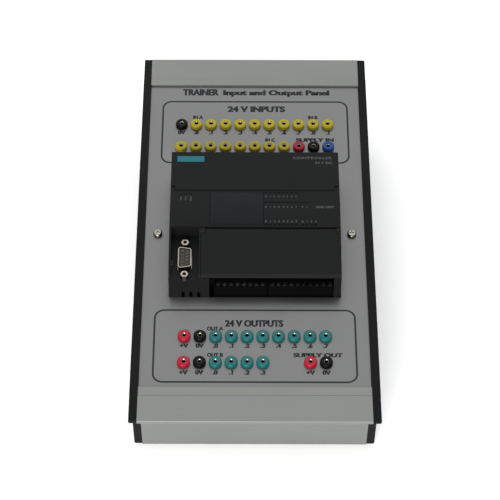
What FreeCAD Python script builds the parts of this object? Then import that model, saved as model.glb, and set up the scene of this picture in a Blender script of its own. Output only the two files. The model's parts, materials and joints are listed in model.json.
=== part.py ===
"""Bench-top controller trainer: a compact controller sunk into the panel of an
aluminium case with a lip at each end, and two banks of 2 mm test sockets wired
to its terminals.

Frame: +X to the right, +Y away from the user, +Z up, millimetres.  The origin
is on the table, under the middle of the case.
"""
import FreeCAD, Part
import math
import os

from FreeCAD import Vector

# ------------------------------------------------------------ driving sizes
# case
CASE_MARGIN = 17.2          # side plate's inner face from the controller's side
CASE_LENGTH = 297.0         # over both lips
CASE_HEIGHT = 67.0          # wall's lower edge to side plates' top edge
GROUND_GAP = 3.0            # wall's lower edge above the table
SIDE_PLATE = 5.3            # side plate thickness
SIDE_PROUD = 2.0            # side plates above the face panel
LIP_REACH = 22.9            # lip beyond the wall
LIP_THICK = 3.2
LIP_STEP = 0.3              # lip's upper face below the ridge
LIP_FLAT = 18.9             # nose to ridge
RIDGE_WIDTH = 5.7
RIDGE_RISE = 1.5            # ridge above the face panel
WALL = 2.2                  # extrusion wall
PANEL_THICK = 3.0
PANEL_GRIP = 2.2            # panel under the ridge
PANEL_PLAY = 0.3            # room beyond the panel's edge
EDGE_PLAY = 0.2             # plates short of the side plates
NOSE_SHARE = 0.3            # rounding of the lip's nose, share of its thickness
BASE_THICK = 2.0
BASE_LIFT = 2.0             # base plate above the wall's lower edge
JAW = 1.5                   # thickness of the jaws that hold the base
JAW_REACH = 3.5
PORT_RADIUS = 3.2           # screw port in the extrusion, outside
PORT_LAP = 0.6              # screw port into the wall
PORT_RISE = 11.0            # lower screw port above the wall's lower edge
PORT_DROP = 9.0             # upper screw port below the face panel
CASE_SCREW = 3.0            # thread of the side plate screws
PORT_SLIT = 0.4             # slit of a screw port, share of the thread
THREAD_BITE = 0.25          # port's bore inside the thread, on the radius
SHANK_PLAY = 0.05
SLIDE = 0.05                # play of a sliding fit
FOOT_DIAMETER = 13.0
FOOT_ROUND = 1.0
FOOT_INSET_X = 21.5         # foot's centre from the side plate's outer face
FOOT_INSET_Y = 40.5         # foot's centre from the lip's nose
TAB_LENGTH = 10.0           # locating tab under the lip
TAB_WIDTH = 3.5
TAB_THICK = 1.55
TAB_INSET = 2.0             # tab from the lip's nose
CORNER_ROUND = 1.4          # side plate's corners
PLATE_ROUND = 1.0           # side plate's outer edges
SCREW_REACH = 10.0          # side plate screw beyond the plate
CROSS_DEPTH = 0.9           # cross recess of the side plate screws

# test sockets
SOCKET_PITCH = 10.0
OUTPUT_PITCH = 9.9
SOCKET_HEAD = 8.2
SOCKET_HEAD_HEIGHT = 2.8
SOCKET_DOME = 1.3           # rounding of the head
SOCKET_BODY = 5.4
SOCKET_DEPTH = 13.0         # insulator below the panel's upper face
SOCKET_MOUTH = 4.2          # funnel at the top of the head
MOUTH_DEPTH = 0.8           # contact's bore below the top of the head
CONTACT_FLARE = 0.4         # countersink over the bore
FLARE_LAND = 0.05           # rim left round the countersink
PLUG_BORE = 2.1             # contact sleeve for a 2 mm plug
SLEEVE = 3.0                # contact sleeve, outside
SLEEVE_LENGTH = 12.0
SLEEVE_FLOOR = 1.5          # closed end of the sleeve
TAIL = 1.6                  # solder tail
TAIL_LENGTH = 5.0
NUT_FLATS = 7.5
NUT_THICK = 2.0
ROW_1_INSET = 35.4          # outer input row from the panel's far edge
ROW_2_INSET = 23.8          # inner input row from the controller
ROW_3_INSET = 30.8          # inner output row from the controller
ROW_4_INSET = 18.6          # outer output row from the panel's near edge

# controller
PLC_WIDTH = 110.0
PLC_HEIGHT = 100.0          # along Y
PLC_DEPTH = 81.0            # along Z
PLC_CENTRE_Y = -5.0
PLC_RISE = 27.0             # highest point above the face panel
PLC_WALL = 2.0
PLC_SPLIT = 41.0            # front housing's lower edge below the highest point
CUTOUT_GAP = 0.3            # panel cut-out around the housing
BAND_UPPER = 16.5           # band's upper edge above the controller's centre
BAND_LOWER = 12.5           # band's lower edge below the controller's centre
BAND_DROP = 2.0             # band's edges below its crown
UPPER_DROP = 2.4            # upper door at its hinge, below the crown
UPPER_EDGE_DROP = 3.0       # upper door at its free edge
LOWER_DROP = 2.3
LOWER_EDGE_DROP = 9.5
LOWER_EDGE_BACK = 5.5       # lower door's free edge from the housing's lower side
SKIRT_DROP = 11.5           # top of the sloping skirt below the crown
SKIRT_BACK = 3.7            # top of the sloping skirt from the lower side
BULGE = 0.6                 # crown of each door across its own width
DOOR_THICK = 1.8
FLANGE_LAP = 0.2            # flange's inner corner below the door's skin
PIN_END = 0.3               # pin short of its hole's end
EDGE_ROUND = 0.8            # housing and door edges along the sides
DOOR_GAP = 0.3
CLEAR = 8.0                 # cuts run this far past the housing
DOOR_FLANGE = 9.0           # upper door's return over the top side
KNUCKLE = 1.6               # radius of the rolled hinge edge
HINGE_SLIT = 0.4            # gap between the band and a door
PIN_RADIUS = 1.0
PIN_CLEARANCE = 0.05
PIN_LENGTH = 2.4
EAR_THICK = 2.8
EAR_RADIUS = 2.3
EAR_DEPTH = 4.0             # ear below the hinge axis
PORT_WIDTH = 18.0           # recess for the serial port, inside its rim
PORT_RIM = 1.2
PORT_FLOOR_DROP = 12.5      # recess floor below the crown
PORT_DOOR_GAP = 1.0         # rib between the recess and the lower door
WELL_DROP = 16.0            # floor of the wells under the doors, below the crown
COVER_LEFT = 26.0           # expansion cover from the housing's left side
COVER_WIDTH = 34.4
COVER_UPPER_GAP = 2.0       # expansion cover from the band's edges
COVER_LOWER_GAP = 1.8
COVER_PLAY = 0.15
COVER_PROUD = 0.4
COVER_ROUND = 0.3
LIGHT_X = 1.7               # light guide, face size
LIGHT_Y = 0.9
LIGHT_PITCH = 2.8
LIGHT_START = 1.6           # first light from the expansion cover
LIGHT_SPLIT = 1.2           # extra gap between two groups of lights
LIGHT_SUNK = 0.15
LIGHT_EDGE = 1.6            # outer rows from the band's edges
LIGHT_MIDDLE = 10.8         # middle row from the band's upper edge
LIGHT_GROUPS = ((8,), (8, 2), (8, 4))
STATUS_LIGHTS = 3
STATUS_X = 7.0              # first status light from the housing's left side
STATUS_PITCH = 3.2
STATUS_DROP = 3.4           # status lights from the band's upper edge
PLATE_X = 3.8               # name plate from the housing's left side
PLATE_WIDTH = 17.8
PLATE_HEIGHT = 4.9
PLATE_EDGE = 4.0            # name plate from the door's free edge
PLATE_PROUD = 0.25
VENTS = 3
VENT_PITCH = 5.0
VENT_WIDTH = 2.0
VENT_RISE = 4.0             # vent above the face panel
VENT_SINK = 6.0
VENT_SHIFT = 1.0            # first vent left of the serial port's centre

# terminals
TERMINAL_PITCH = 4.07
TERMINAL_END = 0.6          # plug beyond its outermost ways
PLUG_GAP = 0.4
PLUG_DEPTH = 9.0
PLUG_DROP = 16.0            # plug tops below the crown
PLUG_BACK = 0.6             # lower plugs' outer face from the housing's lower side
LOWER_WAYS = (8, 10)
UPPER_WAYS = (11, 10)
BAY_END = 4.7               # bays from the housing's right side
BAY_SPARE = 3.24            # free room at the left of the lower plugs
BAY_GAP = 0.2
ENTRY = 2.6                 # square wire entry
ENTRY_RISE = 4.0            # wire entry above the foot of the plug
SCREW_WELL = 1.5            # radius
WELL_DEPTH = 8.0
WELL_INSET = 1.9            # screw centre from the plug's outer face
WELL_SCREW_PLAY = 0.1
SCREW_SUNK = 0.8            # terminal screw below the plug's top
SLOT_WIDTH = 0.4
SLOT_DEPTH = 0.8

# serial port
SERIAL_FROM_LEFT = 10.1     # port centre from the housing's left side
SERIAL_FROM_LOWER = 17.8    # port centre from the housing's lower side
SERIAL_SCREWS = 25.0        # jack screw spacing
SERIAL_LONG = 16.9
SERIAL_SHORT = 8.4
SERIAL_TAPER = 10.0         # slope of the D's short sides, degrees
SERIAL_ROUND = 1.8
SERIAL_RISE = 4.0           # shell above the recess floor
SHELL_WALL = 0.5
SHELL_FLANGE = 1.3          # flange beyond the jack screws
SHELL_FLANGE_WIDTH = 12.4
SHELL_FLANGE_THICK = 1.0
PORT_OPENING = 0.35         # opening in the floor around the shell
CONTACT_PITCH = 2.77
CONTACT_ROWS = 2.84
CONTACT_HOLE = 1.2
CONTACT_DEPTH = 6.0
INSULATOR_SUNK = 0.6        # insulator below the shell's edge
JACK_SCREW_FLATS = 4.4
JACK_SCREW_SUNK = 0.8
JACK_SCREW_BORE = 2.5
JACK_SCREW_DEPTH = 4.5
JACK_SCREW_HOLE = 5.4       # clearance in the recess floor
STUD = 2.8
STUD_LENGTH = 4.0

# network jack
JACK_WIDTH = 14.4
JACK_HEIGHT = 13.4
JACK_DEPTH = 21.0
JACK_LEFT = 2.2             # from the housing's left side
JACK_MOUTH_WIDTH = 11.8
JACK_MOUTH_HEIGHT = 8.0
JACK_MOUTH_DEPTH = 12.9
JACK_FLOOR = 1.8            # mouth above the jack's underside
JACK_KEY_WIDTH = 6.0
JACK_KEY_HEIGHT = 1.8

# mounting rail
RAIL_HEIGHT = 7.5
RAIL_WIDTH = 35.0
RAIL_HAT = 27.0
RAIL_GAUGE = 1.0
RAIL_END = 4.4              # rail beyond its screws
RAIL_PLAY = 0.4             # rail edge in the hooks
CHANNEL_PLAY = 0.5          # rail channel beyond the rail's edges
CHANNEL_ROOF = 0.8          # channel above the rail
HANGER_FLATS = 6.0
THREAD = 3.0                # thread of the hanger screws
THREAD_PLAY = 0.2
TAPPED = 10.0               # tapped depth in the hangers
SCREW_LENGTH = 9.0          # hanger screw inside the hanger
WASHER_THICK = 0.5
WASHER_SHARE = 1.15         # washer radius, share of the thread
HEAD_SHARE = 0.75           # screw head height, share of the thread
CROSS_SHARE = 0.55          # cross recess arm, share of the thread
CROSS_WIDTH = 0.12
HOOK_LENGTH = 15.0
HOOK_INSETS = (10.0, 85.0)  # rail hooks from the housing's left side
HOOK_RISE = 3.0
BACK_ROUND = 1.0
GUIDE_WALL = 4.0            # solid beside the latch's guide
LATCH_WIDTH = 12.0
LATCH_THICK = 3.5
LATCH_TAB = 4.0             # latch beyond the housing's lower side
LATCH_SLOT_WALL = 3.0
LATCH_SLOT_END = 1.2
LATCH_SLOT_INNER = 0.8

# boards
BOARD_THICK = 1.6
MAIN_BOARD_DROP = 29.0      # main board's underside below the crown
IO_BOARD_RISE = 6.0         # input and output board above the rear floor
BOARD_SIDE = 3.0            # boards from the housing's sides
BOARD_END = 4.0
BOARD_GAP = 0.5
PILLAR_X = 8.0              # board pillars from the housing's sides
PILLAR_Y = 19.0
PILLAR_RADIUS = 2.5
BOSS_RADIUS = 3.0
BOARD_HOLE = 1.6            # radius
CONNECTOR_LENGTH = 40.0
CONNECTOR_WIDTH = 6.0
CONNECTOR_Y = 9.0           # connector from the controller's centre
CAN_X = 18.0
CAN_PITCH = 12.5
CAN_Y = 30.0
CAN_RADIUS = 5.0
CAN_SHARE = 0.6             # capacitor's height, share of the room between the boards
SMALL_CAN_Y = 16.0
SMALL_CAN_RADIUS = 4.0
SMALL_CAN_SHARE = 0.48
CAN_ROUND = 0.6
CHIP_THICK = 1.4
CHIPS = ((0, 0, 20), (-24, 6, 10), (24, 4, 12))     # left edge, middle, side

# wiring
WIRE = 1.3
DROP_NEAR = 8.0             # wire level below the solder tails, inner row
DROP_FAR = 14.0             # the same, outer row
RISER_NEAR = 14.0           # turn upward, from the terminals
RISER_FAR = 9.0
ENTRY_RUN = 7.0             # straight run into a terminal
ENTRY_GRIP = 3.0            # wire inside a terminal
EARTH_RISE = 8.0            # earth wire's end above the rail
EARTH_SAG = 2.0
EARTH_TURN = 6.0            # turn toward the hanger, behind the controller
BEND = 0.45                 # share of the shorter run taken by a bend

# ------------------------------------------------------------ derived places
plc_x = PLC_WIDTH / 2
inner_x = plc_x + CASE_MARGIN
half_width = inner_x + SIDE_PLATE
half_length = CASE_LENGTH / 2
case_bottom = GROUND_GAP
side_top = case_bottom + CASE_HEIGHT
panel_top = side_top - SIDE_PROUD
panel_bottom = panel_top - PANEL_THICK
ridge_top = panel_top + RIDGE_RISE
lip_top = ridge_top - LIP_STEP
lip_bottom = lip_top - LIP_THICK
base_bottom = case_bottom + BASE_LIFT
base_top = base_bottom + BASE_THICK
ridge_inner = LIP_FLAT + RIDGE_WIDTH
wall_inner = LIP_REACH + WALL
port_inset = wall_inner + PORT_RADIUS - PORT_LAP
port_heights = (case_bottom + PORT_RISE, panel_bottom - PORT_DROP)
foot_x = half_width - FOOT_INSET_X
foot_y = half_length - FOOT_INSET_Y

plc_upper = PLC_CENTRE_Y + PLC_HEIGHT / 2
plc_lower = PLC_CENTRE_Y - PLC_HEIGHT / 2
crown = panel_top + PLC_RISE
plc_back = crown - PLC_DEPTH
split = crown - PLC_SPLIT
row_1_y = half_length - ridge_inner - ROW_1_INSET
row_2_y = plc_upper + ROW_2_INSET
row_3_y = plc_lower - ROW_3_INSET
row_4_y = ridge_inner - half_length + ROW_4_INSET
sleeve_top = panel_top + SOCKET_HEAD_HEIGHT - MOUTH_DEPTH
sleeve_floor = sleeve_top - SLEEVE_LENGTH
contact_top = sleeve_top + CONTACT_FLARE
tail_foot = sleeve_floor - SLEEVE_FLOOR - TAIL_LENGTH
band_upper = PLC_CENTRE_Y + BAND_UPPER
band_lower = PLC_CENTRE_Y - BAND_LOWER
upper_axis_y = band_upper + HINGE_SLIT + KNUCKLE
lower_axis_y = band_lower - HINGE_SLIT - KNUCKLE
lower_edge_y = plc_lower + LOWER_EDGE_BACK
skirt_y = plc_lower + SKIRT_BACK
port_right = -plc_x + PORT_RIM + PORT_WIDTH
port_floor = crown - PORT_FLOOR_DROP
lower_door_left = port_right + PORT_DOOR_GAP
upper_flange_z = crown - UPPER_EDGE_DROP - DOOR_FLANGE
skirt_top = crown - SKIRT_DROP
well_floor = crown - WELL_DROP
light_rows = (band_upper - LIGHT_EDGE, band_upper - LIGHT_MIDDLE, band_lower + LIGHT_EDGE)
cover_x0 = COVER_LEFT - plc_x
cover_x1 = cover_x0 + COVER_WIDTH
cover_y0 = band_lower + COVER_LOWER_GAP
cover_y1 = band_upper - COVER_UPPER_GAP
plug_top = crown - PLUG_DROP
plug_foot = split + PLC_WALL
entry_z = plug_foot + ENTRY_RISE
bay_right = plc_x - BAY_END
lower_well_y = plc_lower + PLUG_BACK + WELL_INSET
upper_well_y = plc_upper - PLC_WALL - BAY_GAP - WELL_INSET
serial_x = SERIAL_FROM_LEFT - plc_x
serial_y = plc_lower + SERIAL_FROM_LOWER
serial_flange = SERIAL_SCREWS + 2 * SHELL_FLANGE
serial_ends = (serial_y - SERIAL_SCREWS / 2, serial_y + SERIAL_SCREWS / 2)
flange_top = port_floor - PLC_WALL - SLIDE
main_board_z = crown - MAIN_BOARD_DROP
jack_left = -plc_x + JACK_LEFT
jack_top = main_board_z + BOARD_THICK + JACK_HEIGHT
rail_screw_x = (plc_x + inner_x) / 2
channel_top = plc_back + RAIL_HEIGHT + CHANNEL_ROOF
latch_z1 = plc_back + RAIL_HEIGHT - RAIL_GAUGE - RAIL_PLAY
latch_z0 = latch_z1 - LATCH_THICK
board_corners = [(sx * (plc_x - PILLAR_X), PLC_CENTRE_Y + sy * (PLC_HEIGHT / 2 - PILLAR_Y))
                 for sx in (-1, 1) for sy in (-1, 1)]
rear_floor = channel_top + PLC_WALL
io_board_z = rear_floor + IO_BOARD_RISE
hanger_foot = plc_back + RAIL_GAUGE


# ------------------------------------------------------------ plain shapes
def box(x0, x1, y0, y1, z0, z1):
    return Part.makeBox(x1 - x0, y1 - y0, z1 - z0, Vector(x0, y0, z0))


def post(x, y, z0, z1, radius):
    return Part.makeCylinder(radius, z1 - z0, Vector(x, y, z0))


def rod_x(x0, x1, y, z, radius):
    return Part.makeCylinder(radius, x1 - x0, Vector(x0, y, z), Vector(1, 0, 0))


def hexagon(x, y, z0, z1, flats):
    radius = flats / math.sqrt(3)
    corners = []
    for i in range(7):
        turn = math.radians(60 * i)
        corners.append(Vector(x + radius * math.cos(turn), y + radius * math.sin(turn), z0))
    return Part.Face(Part.makePolygon(corners)).extrude(Vector(0, 0, z1 - z0))


def prism_x(outline, x0, x1):
    """Solid between x0 and x1 whose (y, z) section is a closed polygon."""
    corners = [Vector(x0, y, z) for y, z in outline]
    corners.append(corners[0])
    return Part.Face(Part.makePolygon(corners)).extrude(Vector(x1 - x0, 0, 0))


def prism_of(edges, x0, x1):
    """Solid between x0 and x1 whose section is a closed run of edges at x = 0."""
    solid = Part.Face(Part.Wire(edges)).extrude(Vector(x1 - x0, 0, 0))
    solid.translate(Vector(x0, 0, 0))
    return solid


def line(start, end):
    return Part.makeLine(Vector(0, *start), Vector(0, *end))


def rounded(solid, radius, wanted):
    """Fillet every edge whose centre passes the test."""
    edges = [edge for edge in solid.Edges if wanted(edge)]
    return solid.makeFillet(radius, edges)


def mirrored_y(solid):
    return solid.mirror(Vector(0, 0, 0), Vector(0, 1, 0))


def mirrored_x(solid):
    return solid.mirror(Vector(0, 0, 0), Vector(1, 0, 0))


def fused(solids):
    whole = solids[0].fuse(solids[1:])
    return whole.removeSplitter()


class Arch:
    """A shallow circular arch across Y, given by three (y, z) points."""

    def __init__(self, start, middle, end):
        circle = Part.Arc(Vector(0, *start), Vector(0, *middle), Vector(0, *end)).toShape().Curve
        self.centre_y = circle.Center.y
        self.centre_z = circle.Center.z
        self.radius = circle.Radius

    def z(self, y, inset=0.0):
        radius = self.radius - inset
        return self.centre_z + math.sqrt(radius ** 2 - (y - self.centre_y) ** 2)

    def edge(self, y0, y1, inset=0.0):
        middle = (y0 + y1) / 2
        points = [Vector(0, y, self.z(y, inset)) for y in (y0, middle, y1)]
        return Part.Arc(*points).toShape()

    def slab(self, x0, x1, y0, y1, top, bottom):
        """Curved plate between two insets from the arch."""
        corners = [(y0, self.z(y0, top)), (y1, self.z(y1, top)),
                   (y1, self.z(y1, bottom)), (y0, self.z(y0, bottom))]
        edges = [self.edge(y0, y1, top), line(corners[1], corners[2]),
                 self.edge(y1, y0, bottom), line(corners[3], corners[0])]
        return prism_of(edges, x0, x1)

    def above(self, x0, x1, y0, y1, inset, top):
        """Everything above the arch's inset, up to a level."""
        edges = [self.edge(y0, y1, inset), line((y1, self.z(y1, inset)), (y1, top)),
                 line((y1, top), (y0, top)), line((y0, top), (y0, self.z(y0, inset)))]
        return prism_of(edges, x0, x1)


def arch_between(start, end):
    middle = ((start[0] + end[0]) / 2, (start[1] + end[1]) / 2 + BULGE)
    return Arch(start, middle, end)


upper_arch = arch_between((band_upper, crown - UPPER_DROP), (plc_upper, crown - UPPER_EDGE_DROP))
lower_arch = arch_between((lower_edge_y, crown - LOWER_EDGE_DROP), (band_lower, crown - LOWER_DROP))
band_arch = Arch((band_lower, crown - BAND_DROP), ((band_lower + band_upper) / 2, crown),
                 (band_upper, crown - BAND_DROP))
upper_axis_z = upper_arch.z(upper_axis_y) - KNUCKLE
lower_axis_z = lower_arch.z(lower_axis_y) - KNUCKLE


# ------------------------------------------------------------ case
def make_extrusion():
    """Front extrusion: wall, overhanging lip, ridge over the panel, base jaws, screw ports."""
    y = -half_length
    ridge = y + ridge_inner
    slot = ridge - PANEL_GRIP - PANEL_PLAY
    wall = y + wall_inner
    section = [
        (y, lip_bottom), (y, lip_top), (y + LIP_FLAT, lip_top), (y + LIP_FLAT, ridge_top),
        (ridge, ridge_top), (ridge, panel_top + SLIDE), (slot, panel_top + SLIDE),
        (slot, panel_bottom - SLIDE), (ridge + JAW_REACH, panel_bottom - SLIDE),
        (ridge + JAW_REACH, panel_bottom - WALL), (wall, panel_bottom - WALL),
        (wall, base_top + SLIDE + JAW), (wall + JAW_REACH, base_top + SLIDE + JAW),
        (wall + JAW_REACH, base_top + SLIDE), (wall, base_top + SLIDE),
        (wall, base_bottom - SLIDE), (wall + JAW_REACH, base_bottom - SLIDE),
        (wall + JAW_REACH, case_bottom), (y + LIP_REACH, case_bottom),
        (y + LIP_REACH, lip_bottom - WALL), (y + LIP_REACH - WALL, lip_bottom),
    ]
    bar = prism_x(section, -inner_x, inner_x)
    nose = LIP_THICK * NOSE_SHARE
    bar = rounded(bar, nose, lambda e: abs(e.CenterOfMass.y - y) < 0.01 and e.Length > inner_x)
    ports = [rod_x(-inner_x, inner_x, y + port_inset, z, PORT_RADIUS) for z in port_heights]
    bar = fused([bar] + ports)
    slit = CASE_SCREW * PORT_SLIT
    for z in port_heights:
        bar = bar.cut(rod_x(-inner_x, inner_x, y + port_inset, z, CASE_SCREW / 2 - THREAD_BITE))
        bar = bar.cut(box(-inner_x, inner_x, y + port_inset, y + port_inset + PORT_RADIUS + 1,
                          z - slit / 2, z + slit / 2))
    return bar


def make_side_plate():
    """Right side plate: outline of the extrusions, countersunk for the case screws."""
    lip_y = half_length
    wall_y = half_length - LIP_REACH
    ridge_y = half_length - LIP_FLAT
    half = [(wall_y, case_bottom), (wall_y, lip_bottom - WALL), (wall_y + WALL, lip_bottom),
            (lip_y, lip_bottom), (lip_y, lip_top), (ridge_y + RIDGE_RISE, lip_top),
            (ridge_y, side_top)]
    section = half + [(-y, z) for y, z in reversed(half)]
    plate = prism_x(section, inner_x, half_width)

    def outer_edge(edge):
        centre = edge.CenterOfMass
        return abs(centre.x - half_width) < 0.01

    def corner(edge):
        centre = edge.CenterOfMass
        along = abs(centre.x - (inner_x + half_width) / 2) < 0.01
        nose = abs(abs(centre.y) - lip_y) < 0.01
        foot = centre.z < case_bottom + 0.01
        return along and (nose or foot)

    plate = rounded(plate, CORNER_ROUND, corner)
    plate = rounded(plate, PLATE_ROUND, outer_edge)
    tab_y0 = lip_y - TAB_INSET - TAB_WIDTH
    tab_y1 = lip_y - TAB_INSET
    tab_z1 = lip_bottom - SLIDE
    tab_z0 = tab_z1 - TAB_THICK
    tab = box(inner_x - TAB_LENGTH, inner_x, tab_y0, tab_y1, tab_z0, tab_z1)
    tab_root = box(inner_x, inner_x + TAB_THICK, tab_y0, tab_y1, tab_z0, lip_bottom + TAB_THICK)
    far_tab = mirrored_y(tab)
    far_root = mirrored_y(tab_root)
    plate = fused([plate, tab, tab_root, far_tab, far_root])
    for y in (half_length - port_inset, port_inset - half_length):
        for z in port_heights:
            plate = plate.cut(rod_x(inner_x - 1, half_width + 1, y, z, CASE_SCREW / 2 + 2 * SLIDE))
            plate = plate.cut(countersink(y, z, CASE_SCREW + 2 * SLIDE))
    return plate


def countersink(y, z, radius):
    depth = radius - CASE_SCREW / 2
    return Part.makeCone(radius - depth, radius, depth, Vector(half_width - depth, y, z), Vector(1, 0, 0))


def make_side_screws():
    """Countersunk self-tapping screws, four in each side plate."""
    screws = []
    recess = CROSS_DEPTH
    for y in (half_length - port_inset, port_inset - half_length):
        for z in port_heights:
            head = countersink(y, z, CASE_SCREW)
            shank = rod_x(inner_x - SCREW_REACH, half_width - recess, y, z,
                          CASE_SCREW / 2 - THREAD_BITE - SHANK_PLAY)
            screw = head.fuse(shank)
            for arm in ((recess * 2, recess / 2), (recess / 2, recess * 2)):
                screw = screw.cut(box(half_width - recess, half_width + 1, y - arm[0], y + arm[0],
                                      z - arm[1], z + arm[1]))
            screws.append(screw)
            screws.append(mirrored_x(screw))
    return Part.makeCompound(screws)


def make_base_plate():
    x = inner_x - EDGE_PLAY
    y = half_length - wall_inner - EDGE_PLAY
    return box(-x, x, -y, y, base_bottom, base_top)


def make_feet():
    feet = []
    for x in (-foot_x, foot_x):
        for y in (-foot_y, foot_y):
            foot = post(x, y, 0, base_bottom, FOOT_DIAMETER / 2)
            feet.append(rounded(foot, FOOT_ROUND, lambda e: e.CenterOfMass.z < 0.01 and len(e.Vertexes) == 1))
    return Part.makeCompound(feet)


def make_face_panel(sockets):
    y = half_length - ridge_inner + PANEL_GRIP
    x = inner_x - EDGE_PLAY
    panel = box(-x, x, -y, y, panel_bottom, panel_top)
    gap = CUTOUT_GAP
    cutout = box(-plc_x - gap, plc_x + gap, plc_lower - gap, plc_upper + gap,
                 panel_bottom - 1, panel_top + 1)
    holes = [post(hole_x, hole_y, panel_bottom - 1, panel_top + 1, SOCKET_BODY / 2 + 2 * SLIDE)
             for hole_x, hole_y, colour in sockets]
    for hole_x in (-rail_screw_x, rail_screw_x):
        holes.append(post(hole_x, PLC_CENTRE_Y, panel_bottom - 1, panel_top + 1,
                          THREAD / 2 + THREAD_PLAY))
    return panel.cut([cutout] + holes)


# ------------------------------------------------------------ test sockets
def socket_places():
    """Every socket as (x, y, colour)."""
    places = []
    for i in range(11):
        x = (i - 5) * SOCKET_PITCH
        places.append((x, row_1_y, "black" if i == 0 else "yellow"))
        colour = {8: "red", 9: "black", 10: "blue"}.get(i, "yellow")
        places.append((x, row_2_y, colour))
    for i in range(10):
        x = (i - 4.5) * OUTPUT_PITCH
        colour = {0: "red", 1: "black"}.get(i, "teal")
        places.append((x, row_3_y, colour))
        if i not in (6, 7):
            colour = {0: "red", 1: "black", 8: "red", 9: "black"}.get(i, "teal")
            places.append((x, row_4_y, colour))
    return places


def make_insulator(x, y):
    """Moulded bush: domed head over the panel, body through it, funnel down to the sleeve."""
    head = post(x, y, panel_top, panel_top + SOCKET_HEAD_HEIGHT, SOCKET_HEAD / 2)
    top = panel_top + SOCKET_HEAD_HEIGHT
    head = rounded(head, SOCKET_DOME, lambda e: abs(e.CenterOfMass.z - top) < 0.01
                   and len(e.Vertexes) == 1)
    body = post(x, y, panel_top - SOCKET_DEPTH, panel_top, SOCKET_BODY / 2)
    bush = head.fuse(body).removeSplitter()
    mouth = Part.makeCone(SLEEVE / 2, SOCKET_MOUTH / 2, MOUTH_DEPTH - CONTACT_FLARE,
                          Vector(x, y, contact_top))
    seat = post(x, y, panel_top - SOCKET_DEPTH - 1, contact_top, SLEEVE / 2)
    return bush.cut([mouth, seat])


def make_contact(x, y):
    """Turned contact: countersunk sleeve above, solid shoulder and solder tail below."""
    sleeve = post(x, y, sleeve_floor - SLEEVE_FLOOR, contact_top, SLEEVE / 2)
    tail = post(x, y, tail_foot, sleeve_floor - SLEEVE_FLOOR, TAIL / 2)
    bore = post(x, y, sleeve_floor, sleeve_top + CONTACT_FLARE / 2, PLUG_BORE / 2)
    flare = Part.makeCone(PLUG_BORE / 2, SLEEVE / 2 - FLARE_LAND, CONTACT_FLARE, Vector(x, y, sleeve_top))
    return sleeve.fuse(tail).removeSplitter().cut([bore, flare])


def make_nut(x, y):
    nut = hexagon(x, y, panel_bottom - NUT_THICK, panel_bottom, NUT_FLATS)
    return nut.cut(post(x, y, panel_bottom - NUT_THICK - 1, panel_bottom + 1, SOCKET_BODY / 2))


# ------------------------------------------------------------ rail and hangers
def make_rail():
    """Top-hat rail, hung from the face panel."""
    hat = RAIL_HAT / 2
    edge = RAIL_WIDTH / 2
    y = PLC_CENTRE_Y
    z0 = plc_back
    z1 = plc_back + RAIL_HEIGHT
    g = RAIL_GAUGE
    section = [(y - hat, z0), (y + hat, z0), (y + hat, z1 - g), (y + edge, z1 - g), (y + edge, z1),
               (y + hat - g, z1), (y + hat - g, z0 + g), (y - hat + g, z0 + g), (y - hat + g, z1),
               (y - edge, z1), (y - edge, z1 - g), (y - hat, z1 - g)]
    rail = prism_x(section, -rail_screw_x - RAIL_END, rail_screw_x + RAIL_END)
    holes = [post(x, y, z0 - 1, z0 + g + 1, THREAD / 2 + THREAD_PLAY) for x in (-rail_screw_x, rail_screw_x)]
    return rail.cut(holes)


def make_hangers():
    """Hexagonal pillars between the rail and the panel, tapped at both ends."""
    hangers = []
    for x in (-rail_screw_x, rail_screw_x):
        hanger = hexagon(x, PLC_CENTRE_Y, hanger_foot, panel_bottom, HANGER_FLATS)
        for z0, z1 in ((hanger_foot - 1, hanger_foot + TAPPED), (panel_bottom - TAPPED, panel_bottom + 1)):
            hanger = hanger.cut(post(x, PLC_CENTRE_Y, z0, z1, THREAD / 2))
        hangers.append(hanger)
    return Part.makeCompound(hangers)


def pan_screw(x, y, seat, up, length):
    """Pan-head cross-recess screw; up is +1 when its head is above the seat."""
    head_radius = THREAD
    head_height = THREAD * HEAD_SHARE
    head = Part.makeCylinder(head_radius, head_height, Vector(x, y, seat), Vector(0, 0, up))
    end = seat + up * head_height
    head = rounded(head, head_height / 2,
                   lambda e: abs(e.CenterOfMass.z - end) < 0.01 and len(e.Vertexes) == 1)
    shank = Part.makeCylinder(THREAD / 2, length, Vector(x, y, seat), Vector(0, 0, -up))
    screw = head.fuse(shank).removeSplitter()
    arm = THREAD * CROSS_SHARE
    slot = THREAD * CROSS_WIDTH
    low, high = sorted((end - up * head_height / 2, end + up))
    return screw.cut([box(x - arm, x + arm, y - slot, y + slot, low, high),
                      box(x - slot, x + slot, y - arm, y + arm, low, high)])


def make_screw_pair(seat, up, length):
    return Part.makeCompound([pan_screw(x, PLC_CENTRE_Y, seat, up, length)
                              for x in (-rail_screw_x, rail_screw_x)])


def make_washers():
    washers = []
    for x in (-rail_screw_x, rail_screw_x):
        ring = post(x, PLC_CENTRE_Y, plc_back - WASHER_THICK, plc_back, THREAD * WASHER_SHARE)
        washers.append(ring.cut(post(x, PLC_CENTRE_Y, plc_back - 1, plc_back + 1,
                                     THREAD / 2 + 2 * SLIDE)))
    return Part.makeCompound(washers)


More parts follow.
